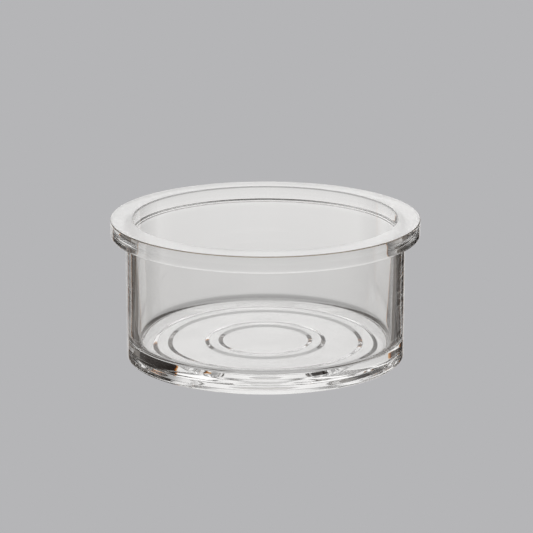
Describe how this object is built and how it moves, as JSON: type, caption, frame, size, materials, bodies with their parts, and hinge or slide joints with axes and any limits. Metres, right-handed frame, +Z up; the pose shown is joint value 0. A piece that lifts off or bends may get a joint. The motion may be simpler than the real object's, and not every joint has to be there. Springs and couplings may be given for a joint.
{
  "type": "flanged glass dish",
  "caption": "Small round clear glass dish with a thick flat base, a straight wall and a broad flat flanged rim, for liquids or small parts on a bench.",
  "frame": {"origin": "on the table, under the middle of the base", "axes": "+Z up along the dish's axis, out of its mouth; +X and +Y are alike, because the dish is turned"},
  "size_m": [0.0664, 0.0664, 0.0306],
  "materials": {
    "clear_glass": "clear pressed glass, fire polished, with a ground rim face"
  },
  "bodies": {
    "root": {"dish": "clear_glass"}
  },
  "joints": []
}
